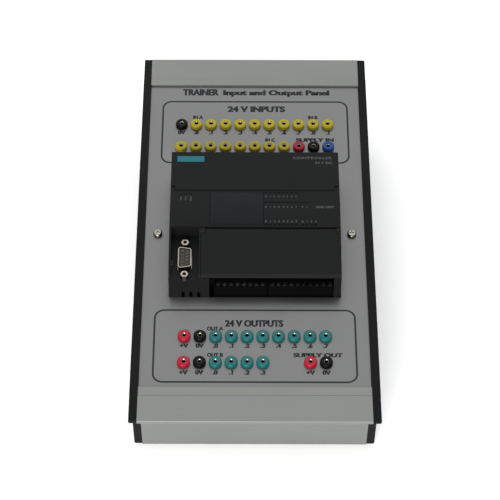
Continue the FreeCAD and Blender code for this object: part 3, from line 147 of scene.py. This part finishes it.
def make_studio():
    scene = bpy.context.scene
    scene.view_settings.view_transform = "Standard"
    scene.view_settings.look = "None"
    world = bpy.data.worlds.new("studio")
    scene.world = world
    world.use_nodes = True
    world.node_tree.nodes["Background"].inputs["Color"].default_value = (0.95, 0.97, 1.0, 1)
    world.node_tree.nodes["Background"].inputs["Strength"].default_value = WORLD_LEVEL
    for light in LIGHTS:
        make_light(*light)
    mesh = bpy.data.meshes.new("floor")
    half = FLOOR_HALF
    mesh.from_pydata([(-half, -half, 0), (half, -half, 0), (half, half, 0), (-half, half, 0)], [],
                     [(0, 1, 2, 3)])
    floor = bpy.data.objects.new("floor", mesh)
    scene.collection.objects.link(floor)
    paper = make_surface("floor_paper", (0.92, 0.92, 0.92), 0.9, grain=600, colour_swing=0.01)
    shader = paper.node_tree.nodes["Principled BSDF"]
    shader.inputs["Emission Color"].default_value = (1.0, 1.0, 1.0, 1)
    shader.inputs["Emission Strength"].default_value = FLOOR_GLOW
    mesh.materials.append(paper)


# ------------------------------------------------------------ materials
def new_material(name):
    material = bpy.data.materials.new(name)
    material.use_nodes = True
    nodes = material.node_tree.nodes
    return material, nodes, material.node_tree.links, nodes["Principled BSDF"]


def noise_on(nodes, links, scale, stretch=(1, 1, 1), detail=3.0, roughness=0.6):
    """Noise in the object's own metres, drawn out along an axis by a small stretch value."""
    place = nodes.new("ShaderNodeTexCoord")
    mapping = nodes.new("ShaderNodeMapping")
    mapping.inputs["Scale"].default_value = stretch
    noise = nodes.new("ShaderNodeTexNoise")
    noise.inputs["Scale"].default_value = scale
    noise.inputs["Detail"].default_value = detail
    noise.inputs["Roughness"].default_value = roughness
    links.new(place.outputs["Object"], mapping.inputs["Vector"])
    links.new(mapping.outputs["Vector"], noise.inputs["Vector"])
    return noise.outputs["Fac"]


def spread(nodes, links, factor, low, high, from_low=0.3, from_high=0.7):
    ranged = nodes.new("ShaderNodeMapRange")
    ranged.inputs["From Min"].default_value = from_low
    ranged.inputs["From Max"].default_value = from_high
    ranged.inputs["To Min"].default_value = low
    ranged.inputs["To Max"].default_value = high
    links.new(factor, ranged.inputs["Value"])
    return ranged.outputs["Result"]


def tinted(nodes, links, factor, dark, light):
    mix = nodes.new("ShaderNodeMix")
    mix.data_type = "RGBA"
    mix.inputs["A"].default_value = (*dark, 1)
    mix.inputs["B"].default_value = (*light, 1)
    links.new(factor, mix.inputs["Factor"])
    return mix.outputs["Result"]


def make_surface(name, colour, roughness, metallic=0.0, grain=3000.0, stretch=(1, 1, 1), bump=0.0,
                 bump_height=0.02 * MM, colour_swing=0.06, rough_swing=0.08, blotch=25.0, specular=0.5):
    """Procedural surface: fine grain in colour and bump, broad patches in colour and gloss."""
    material, nodes, links, shader = new_material(name)
    fine = noise_on(nodes, links, grain, stretch)
    broad = noise_on(nodes, links, blotch, detail=4.0)
    dark = tuple(c * (1 - colour_swing) for c in colour)
    light = tuple(c * (1 + colour_swing) for c in colour)
    mixed = nodes.new("ShaderNodeMath")
    mixed.operation = "MULTIPLY_ADD"
    links.new(fine, mixed.inputs[0])
    mixed.inputs[1].default_value = 0.5
    halved = spread(nodes, links, broad, 0.0, 0.5)
    links.new(halved, mixed.inputs[2])
    level = spread(nodes, links, mixed.outputs[0], 0.0, 1.0, 0.25, 0.75)
    links.new(tinted(nodes, links, level, dark, light), shader.inputs["Base Color"])
    links.new(spread(nodes, links, broad, roughness - rough_swing, roughness + rough_swing),
              shader.inputs["Roughness"])
    shader.inputs["Metallic"].default_value = metallic
    shader.inputs["Specular IOR Level"].default_value = specular
    if bump:
        relief = nodes.new("ShaderNodeBump")
        relief.inputs["Strength"].default_value = bump
        relief.inputs["Distance"].default_value = bump_height
        links.new(fine, relief.inputs["Height"])
        links.new(relief.outputs["Normal"], shader.inputs["Normal"])
    return material


def make_wire_material(name, colours):
    """Insulation whose colour steps from one wire to the next."""
    material, nodes, links, shader = new_material(name)
    geometry = nodes.new("ShaderNodeNewGeometry")
    ramp = nodes.new("ShaderNodeValToRGB")
    ramp.color_ramp.interpolation = "CONSTANT"
    stops = ramp.color_ramp.elements
    while len(stops) < len(colours):
        stops.new(0.5)
    for i, colour in enumerate(colours):
        stops[i].position = i / len(colours)
        stops[i].color = (*colour, 1)
    links.new(geometry.outputs["Random Per Island"], ramp.inputs["Fac"])
    links.new(ramp.outputs["Color"], shader.inputs["Base Color"])
    fine = noise_on(nodes, links, 2500)
    links.new(spread(nodes, links, fine, 0.35, 0.5), shader.inputs["Roughness"])
    return material


def make_striped_material(name, ground, stripe):
    """Earth wire: two colours in bands along its length."""
    material, nodes, links, shader = new_material(name)
    place = nodes.new("ShaderNodeTexCoord")
    wave = nodes.new("ShaderNodeTexWave")
    wave.inputs["Scale"].default_value = 90.0
    wave.bands_direction = "Y"
    links.new(place.outputs["Object"], wave.inputs["Vector"])
    level = spread(nodes, links, wave.outputs["Fac"], 0.0, 1.0, 0.48, 0.52)
    links.new(tinted(nodes, links, level, ground, stripe), shader.inputs["Base Color"])
    shader.inputs["Roughness"].default_value = 0.4
    return material


def make_materials():
    brushed = dict(grain=900, stretch=(0.02, 1, 1), bump=0.25, colour_swing=0.05)
    return {
        "aluminium": make_surface("aluminium", (0.180, 0.185, 0.175), 0.5, 0.35, **brushed),
        "panel_print": make_surface("panel_print", (0.138, 0.139, 0.139), 0.36, 0.85, grain=2500, bump=0.05,
                                    colour_swing=0.03, rough_swing=0.04),
        "black_case": make_surface("black_case", (0.003, 0.003, 0.0035), 0.6, grain=2200, bump=0.35,
                                   colour_swing=0.2, specular=0.12),
        "steel": make_surface("steel", (0.24, 0.24, 0.22), 0.3, 1.0, grain=2000, bump=0.1),
        "nickel": make_surface("nickel", (0.27, 0.26, 0.22), 0.22, 1.0, grain=1500, bump=0.05),
        "brass": make_surface("brass", (0.60, 0.45, 0.20), 0.28, 1.0, grain=1500, bump=0.05),
        "rubber": make_surface("rubber", (0.015, 0.015, 0.015), 0.75, grain=1800, bump=0.5),
        "controller_plastic": make_surface("controller_plastic", (0.0068, 0.0073, 0.0071), 0.6, grain=2600,
                                           bump=0.45, colour_swing=0.15, specular=0.1),
        "cover_plastic": make_surface("cover_plastic", (0.0052, 0.0056, 0.0070), 0.5, grain=2600, bump=0.15,
                                      colour_swing=0.1, specular=0.12),
        "terminal_plastic": make_surface("terminal_plastic", (0.0012, 0.0012, 0.0013), 0.55, grain=2000,
                                         bump=0.3, specular=0.06),
        "name_plate": make_surface("name_plate", (0.006, 0.115, 0.15), 0.45, grain=1500, colour_swing=0.04,
                                   specular=0.2),
        "light_guide": make_surface("light_guide", (0.003, 0.003, 0.0035), 0.45, grain=1000, specular=0.05),
        "yellow": make_surface("yellow", (0.36, 0.29, 0.005), 0.3, grain=1800, bump=0.1, specular=0.25),
        "black": make_surface("black", (0.0018, 0.0018, 0.0018), 0.3, grain=1800, bump=0.1, specular=0.1),
        "red": make_surface("red", (0.33, 0.003, 0.018), 0.3, grain=1800, bump=0.1, specular=0.25),
        "blue": make_surface("blue", (0.008, 0.055, 0.25), 0.3, grain=1800, bump=0.1, specular=0.25),
        "teal": make_surface("teal", (0.004, 0.11, 0.115), 0.3, grain=1800, bump=0.1, specular=0.25),
        "board": make_surface("board", (0.02, 0.12, 0.05), 0.35, grain=1200, bump=0.2),
        "component": make_surface("component", (0.010, 0.010, 0.013), 0.45, grain=1800, bump=0.2,
                                  specular=0.3),
        "wire": make_wire_material("wire", [(0.45, 0.02, 0.02), (0.5, 0.35, 0.02), (0.02, 0.08, 0.35),
                                            (0.02, 0.02, 0.02), (0.4, 0.4, 0.38)]),
        "earth": make_striped_material("earth", (0.55, 0.50, 0.02), (0.02, 0.25, 0.04)),
        "print": make_surface("print", (0.017, 0.018, 0.021), 0.6, grain=3000, colour_swing=0.15,
                              specular=0.2),
        "faint_print": make_surface("faint_print", (0.055, 0.057, 0.055), 0.6, grain=3000),
        "gold": make_surface("gold", (0.30, 0.22, 0.09), 0.25, 1.0, grain=1500),
    }


def dress_nodes(materials):
    """Give every CAD node its slot's procedural material."""
    slot_of = {part["node"]: part["material_slot"] for part in frame["record"]["subparts"]}
    for node, thing in frame["nodes"].items():
        thing.data.materials.clear()
        thing.data.materials.append(materials[slot_of[node]])


# ------------------------------------------------------------ printed marks
def link(name, mesh, material, body):
    mesh.materials.append(material)
    piece = bpy.data.objects.new(name, mesh)
    bpy.context.scene.collection.objects.link(piece)
    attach(piece, body)
    return piece


def lettering(words, weight=0.0, bold=0.0):
    """Flat mesh of a line of characters, its lower left corner at the origin, 1 high.

    Weight swells the outlines; bold lays copies to the left and right."""
    curve = bpy.data.curves.new("letters", "FONT")
    curve.body = words
    curve.offset = weight
    curve.resolution_u = 4
    source = bpy.data.objects.new("letters", curve)
    bpy.context.scene.collection.objects.link(source)
    bpy.context.view_layer.update()
    mesh = bpy.data.meshes.new_from_object(source.evaluated_get(bpy.context.evaluated_depsgraph_get()))
    bpy.data.objects.remove(source)
    bpy.data.curves.remove(curve)
    if bold:
        copies = [mesh.copy() for side in (-1, 1)]
        for side, copy in zip((-1, 1), copies):
            copy.transform(Matrix.Translation((side * bold, 0, (2 + side) * COPY_STEP)))
        mesh = joined(copies + [mesh])
    low, high = extent(mesh)
    mesh.transform(Matrix.Translation((-low.x, -low.y, 0)))
    mesh.transform(Matrix.Scale(1 / (high.y - low.y), 4))
    return mesh


def extent(mesh):
    low = Vector(min(v.co[i] for v in mesh.vertices) for i in range(3))
    high = Vector(max(v.co[i] for v in mesh.vertices) for i in range(3))
    return low, high


def thicken(mesh, depth):
    """Turn a flat mesh into a thin closed slab standing on z = 0."""
    work = bmesh.new()
    work.from_mesh(mesh)
    bmesh.ops.remove_doubles(work, verts=work.verts, dist=1e-7)
    top = bmesh.ops.extrude_face_region(work, geom=work.faces[:])
    raised = [item for item in top["geom"] if isinstance(item, bmesh.types.BMVert)]
    bmesh.ops.translate(work, verts=raised, vec=(0, 0, depth))
    bmesh.ops.recalc_face_normals(work, faces=work.faces)
    work.to_mesh(mesh)
    work.free()


def print_words(name, words, x0, x1, y0, y1, z, material, body="case", weight=0.0, bold=0.0):
    """Characters stretched to fill a box on a level surface."""
    mesh = lettering(words, weight, bold)
    low, high = extent(mesh)
    mesh.transform(Matrix.Diagonal(((x1 - x0) / (high.x - low.x), y1 - y0, 1, 1)))
    thicken(mesh, PRINT_THICK)
    mesh.transform(Matrix.Translation((x0, y0, z)))
    return link(name, mesh, material, body)


def centred_words(words, height, weight=0.0, squeeze=1.0, bold=0.0):
    """Thin characters of one height with their middle at the origin."""
    mesh = lettering(words, weight, bold)
    mesh.transform(Matrix.Diagonal((height * squeeze, height, 1, 1)))
    low, high = extent(mesh)
    mesh.transform(Matrix.Translation((-(low.x + high.x) / 2, -(low.y + high.y) / 2, 0)))
    thicken(mesh, PRINT_THICK)
    return mesh


def joined(meshes):
    work = bmesh.new()
    for mesh in meshes:
        work.from_mesh(mesh)
    whole = bpy.data.meshes.new("joined")
    work.to_mesh(whole)
    work.free()
    return whole


def surface_frame(node, x, y):
    """Matrix that lays a mark on a CAD node where a ray from above first meets it."""
    thing = frame["nodes"][node]
    hit, place, normal, face = thing.ray_cast(Vector((x, y, above_crown)), Vector((0, 0, -1)))
    if not hit:
        raise RuntimeError("no surface under the mark on " + node)
    across = Vector((1, 0, 0))
    up = normal.cross(across).normalized()
    across = up.cross(normal)
    turn = Matrix((across, up, normal)).transposed().to_4x4()
    return Matrix.Translation(place) @ turn


def rounded_outline(x0, x1, y0, y1, radius, steps=10):
    points = []
    for cx, cy, start in ((x1 - radius, y1 - radius, 0), (x0 + radius, y1 - radius, 90),
                          (x0 + radius, y0 + radius, 180), (x1 - radius, y0 + radius, 270)):
        for i in range(steps + 1):
            turn = math.radians(start + 90 * i / steps)
            points.append((cx + radius * math.cos(turn), cy + radius * math.sin(turn)))
    return points


def print_frame(name, x0, x1, y0, y1, radius, width, z, material):
    """Rounded rectangular line round a bank of sockets."""
    half = width / 2
    outer = rounded_outline(x0 - half, x1 + half, y0 - half, y1 + half, radius + half)
    inner = rounded_outline(x0 + half, x1 - half, y0 + half, y1 - half, radius - half)
    count = len(outer)
    points = [(x, y, 0) for x, y in outer + inner]
    faces = [(i, (i + 1) % count, count + (i + 1) % count, count + i) for i in range(count)]
    mesh = bpy.data.meshes.new(name)
    mesh.from_pydata(points, [], faces)
    thicken(mesh, PRINT_THICK)
    mesh.transform(Matrix.Translation((0, 0, z)))
    return link(name, mesh, material, "case")


def socket_rows():
    """Label and x of every labelled socket: supply pairs and plain numbers."""
    rows = {1: [], 3: [], 4: []}
    for i in range(11):
        label = "0V" if i == 0 else "." + str((i - 1) % 8)
        rows[1].append((label, (i - 5) * SOCKET_PITCH))
    for i in range(10):
        x = (i - 4.5) * OUTPUT_PITCH
        rows[3].append(({0: "+V", 1: "0V"}.get(i, "." + str(i - 2)), x))
        if i not in (6, 7):
            rows[4].append(({0: "+V", 1: "0V", 8: "+V", 9: "0V"}.get(i, "." + str(i - 2)), x))
    return rows


def print_socket_labels(materials):
    for row, labels in socket_rows().items():
        marks = []
        for label, x in labels:
            mark = centred_words(label, LABEL_HEIGHT, weight=0.03, squeeze=1.05, bold=0.045)
            mark.transform(Matrix.Translation((x, ROW_Y[row] - LABEL_DROP[row], panel_top)))
            marks.append(mark)
        link("labels_row_" + str(row), joined(marks), materials["print"], "case")


def print_panel(materials):
    """Frames round the two banks, headings, group words and socket labels."""
    ink = materials["print"]
    for name, x0, x1, y0, y1 in FRAMES:
        print_frame(name, x0 * MM, x1 * MM, y0 * MM, y1 * MM, FRAME_RADIUS, FRAME_LINE, panel_top, ink)
    for name, words, x0, x1, y0, y1 in HEADINGS:
        print_words(name, words, x0 * MM, x1 * MM, y0 * MM, y1 * MM, panel_top, ink, weight=0.025,
                    bold=0.04)
    for name, words, x, y in GROUPS:
        mark = centred_words(words, GROUP_HEIGHT, weight=0.025, squeeze=0.85, bold=0.04)
        mark.transform(Matrix.Translation((x * MM, y * MM, panel_top)))
        link(name, mark, ink, "case")
    print_socket_labels(materials)


def mark_controller(materials):
    """Plain numbers beside the lights, and faint words on the band, port and upper door."""
    ink = materials["faint_print"]
    for name, y, counts in (("light_numbers_a", band_high - 5.3 * MM, (8,)),
                            ("light_numbers_b", band_high - 14.5 * MM, (8, 2)),
                            ("light_numbers_c", band_low + 3.6 * MM, (8, 4))):
        link(name, light_numbers(y, counts), ink, "case")
    marks = []
    for i, word in enumerate(("RUN", "STOP", "FAULT")):
        place = surface_frame("front_housing", STATUS_X + STATUS_PITCH * i, band_high - STATUS_DROP)
        marks.append(upright_word(word, STATUS_HEIGHT, place))
    link("status_letters", joined(marks), ink, "case")
    x, y, height = PORT_WORD
    link("port_word", upright_word("PORT", height, surface_frame("front_housing", x, y)), ink, "case")
    x, drop, height = UNIT_WORDS
    mark = centred_words("BASE UNIT", height, weight=0.03)
    mark.transform(surface_frame("front_housing", x, band_high - drop))
    link("unit_words", mark, ink, "case")
    marks = []
    for words, y, width in DOOR_WORDS:
        mark = centred_words(words, DOOR_WORD_HEIGHT, weight=0.025)
        low, high = extent(mark)
        mark.transform(Matrix.Diagonal((width / (high.x - low.x), 1, 1, 1)))
        mark.transform(surface_frame("upper_terminal_door", DOOR_RIGHT - width / 2, y))
        marks.append(mark)
    link("door_words", joined(marks), ink, "upper_door")


def light_numbers(y, counts):
    """One row of numbers, each under its light, in groups that start again at 0."""
    marks = []
    x = FIRST_LIGHT_X
    for count in counts:
        for i in range(count):
            mark = centred_words(str(i), NUMBER_HEIGHT, weight=0.03)
            mark.transform(surface_frame("front_housing", x + LIGHT_PITCH * i, y))
            marks.append(mark)
        x += LIGHT_PITCH * count + LIGHT_SPLIT
    return joined(marks)


def upright_word(word, height, place):
    """Word that reads away from the user."""
    mark = centred_words(word, height, weight=0.03)
    mark.transform(Matrix.Rotation(math.radians(90), 4, "Z"))
    mark.transform(place)
    return mark


def sleeve(x, y, face_z):
    """Closed tube sunk in a contact hole whose mouth is at face_z."""
    work = bmesh.new()
    rings = []
    for radius, z in ((SLEEVE_OUTER, SLEEVE_FOOT), (SLEEVE_OUTER, SLEEVE_TOP),
                      (SLEEVE_INNER, SLEEVE_TOP), (SLEEVE_INNER, SLEEVE_FOOT)):
        ring = []
        for k in range(SLEEVE_SIDES):
            turn = 2 * math.pi * k / SLEEVE_SIDES
            ring.append(work.verts.new((x + radius * math.cos(turn), y + radius * math.sin(turn),
                                        face_z + z)))
        rings.append(ring)
    for a, b in zip(rings, rings[1:] + rings[:1]):
        for k in range(SLEEVE_SIDES):
            after = (k + 1) % SLEEVE_SIDES
            work.faces.new((a[k], a[after], b[after], b[k]))
    bmesh.ops.recalc_face_normals(work, faces=work.faces)
    mesh = bpy.data.meshes.new("sleeve")
    work.to_mesh(mesh)
    work.free()
    return mesh


def make_port_contacts(materials):
    """Nine gold sleeves in the serial port's holes."""
    low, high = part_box("serial_port_insulator")
    shell_low, shell_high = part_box("serial_port_shell")
    middle_x = (low.x + high.x) / 2
    middle_y = (shell_low.y + shell_high.y) / 2
    sleeves = []
    for count, x in CONTACT_COLUMNS:
        for i in range(count):
            y = middle_y + (i - (count - 1) / 2) * CONTACT_PITCH
            sleeves.append(sleeve(middle_x + x, y, high.z))
    link("port_contacts", joined(sleeves), materials["gold"], "case")


# ------------------------------------------------------------ making
make_camera()
make_studio()
surfaces = make_materials()
dress_nodes(surfaces)
print_panel(surfaces)
mark_controller(surfaces)
make_port_contacts(surfaces)
